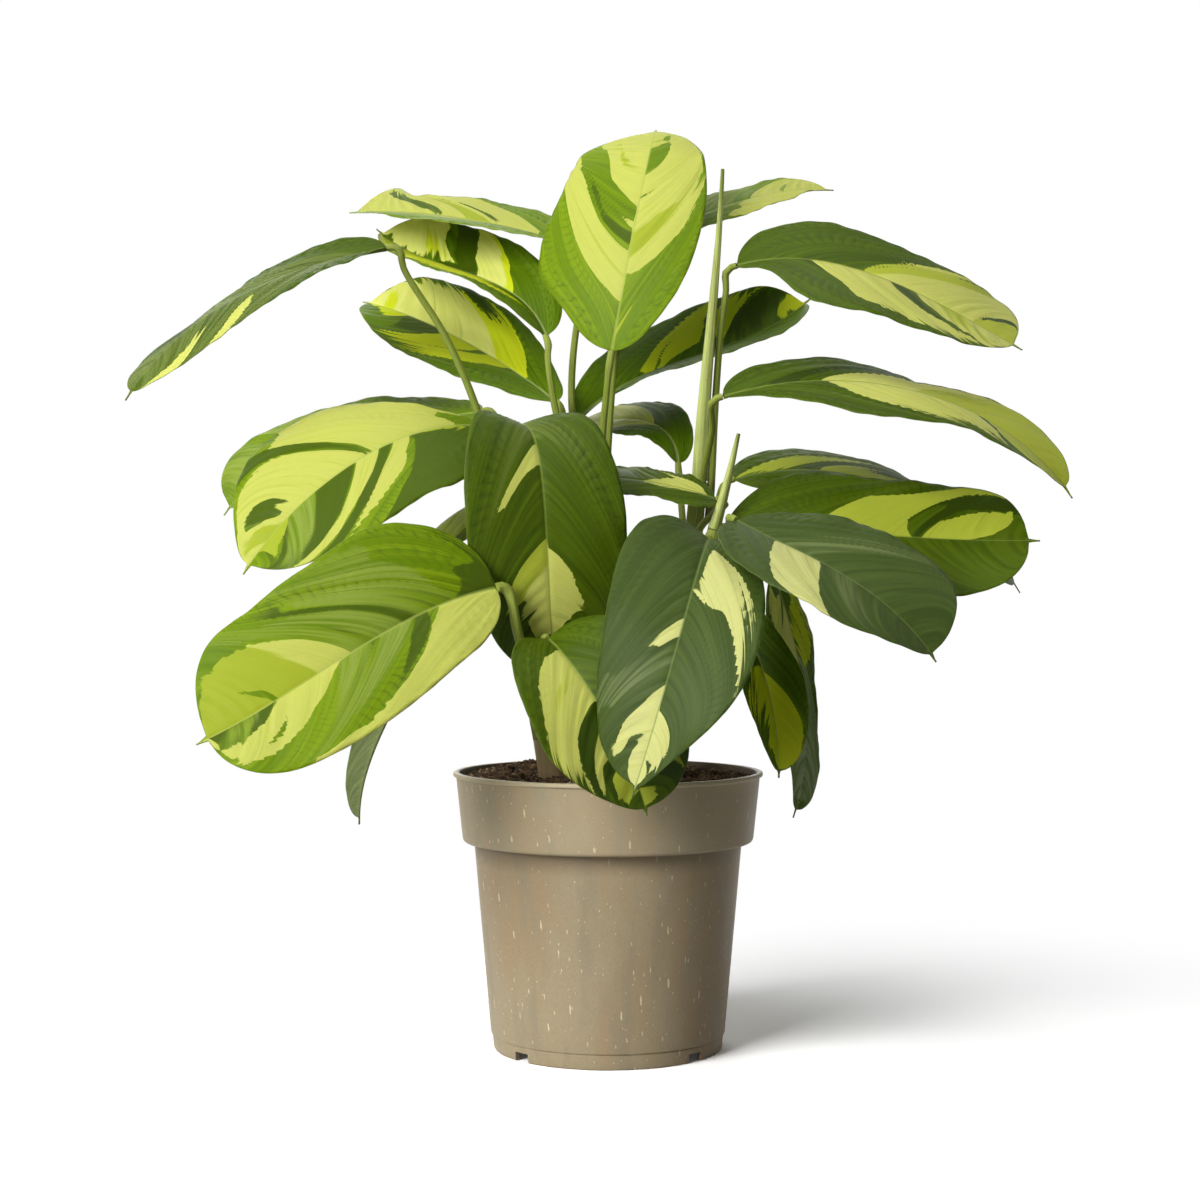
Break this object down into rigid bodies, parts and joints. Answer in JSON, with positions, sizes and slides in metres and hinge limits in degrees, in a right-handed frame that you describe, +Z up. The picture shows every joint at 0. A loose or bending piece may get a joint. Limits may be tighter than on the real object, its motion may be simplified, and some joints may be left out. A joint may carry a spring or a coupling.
{
  "type": "potted ctenanthe",
  "caption": "House plant with broad variegated green, lime and cream leaves on slim stalks, standing in a round tapered plastic nursery pot filled with potting mix.",
  "frame": {"origin": "centre of the pot's flat foot pad, on the floor", "axes": "+Z up along the pot's axis, -Y towards the front of the plant, +X to the right seen from the front"},
  "size_m": [0.4958, 0.3084, 0.5175],
  "materials": {
    "leaf": "satin green blade with lime and cream variegation",
    "stalk": "smooth green leaf stalk",
    "cane": "sheathed stem, brown-pink at its foot and green above",
    "rolled_leaf": "young leaf, still rolled, pale green",
    "pot": "satin taupe recycled plastic with pale flecks",
    "potting_mix": "dark crumbly peat and bark"
  },
  "bodies": {
    "root": {"back_centre_leaf": "leaf", "back_centre_stalk": "stalk", "back_low_left_leaf": "leaf", "back_low_left_stalk": "stalk", "back_low_right_leaf": "leaf", "back_low_right_stalk": "stalk", "back_right_mid_leaf": "leaf", "back_right_mid_stalk": "stalk", "back_right_top_leaf": "leaf", "back_right_top_stalk": "stalk", "cane_centre": "cane", "cane_front": "cane", "cane_left": "cane", "cane_right": "cane", "centre_dark_leaf": "leaf", "centre_dark_stalk": "stalk", "centre_small_leaf": "leaf", "centre_small_stalk": "stalk", "far_left_leaf": "leaf", "far_left_stalk": "stalk", "front_centre_leaf": "leaf", "front_centre_stalk": "stalk", "front_dark_leaf": "leaf", "front_dark_stalk": "stalk", "front_left_leaf": "leaf", "front_left_stalk": "stalk", "front_right_leaf": "leaf", "front_right_stalk": "stalk", "left_back_leaf": "leaf", "left_back_stalk": "stalk", "left_inner_back_leaf": "leaf", "left_inner_back_stalk": "stalk", "left_low_back_leaf": "leaf", "left_low_back_stalk": "stalk", "left_middle_leaf": "leaf", "left_middle_stalk": "stalk", "mid_left_upper_leaf": "leaf", "mid_left_upper_stalk": "stalk", "pot": "pot", "potting_mix": "potting_mix", "right_behind_leaf": "leaf", "right_behind_stalk": "stalk", "right_low_back_leaf": "leaf", "right_low_back_stalk": "stalk", "right_low_leaf": "leaf", "right_low_stalk": "stalk", "right_middle_leaf": "leaf", "right_middle_stalk": "stalk", "right_top_leaf": "leaf", "right_top_stalk": "stalk", "right_upper_leaf": "leaf", "right_upper_stalk": "stalk", "rolled_leaf_short": "rolled_leaf", "rolled_leaf_tall": "rolled_leaf", "top_centre_leaf": "leaf", "top_centre_stalk": "stalk", "upper_left_broad_leaf": "leaf", "upper_left_broad_stalk": "stalk", "upper_left_leaf": "leaf", "upper_left_stalk": "stalk"}
  },
  "joints": []
}
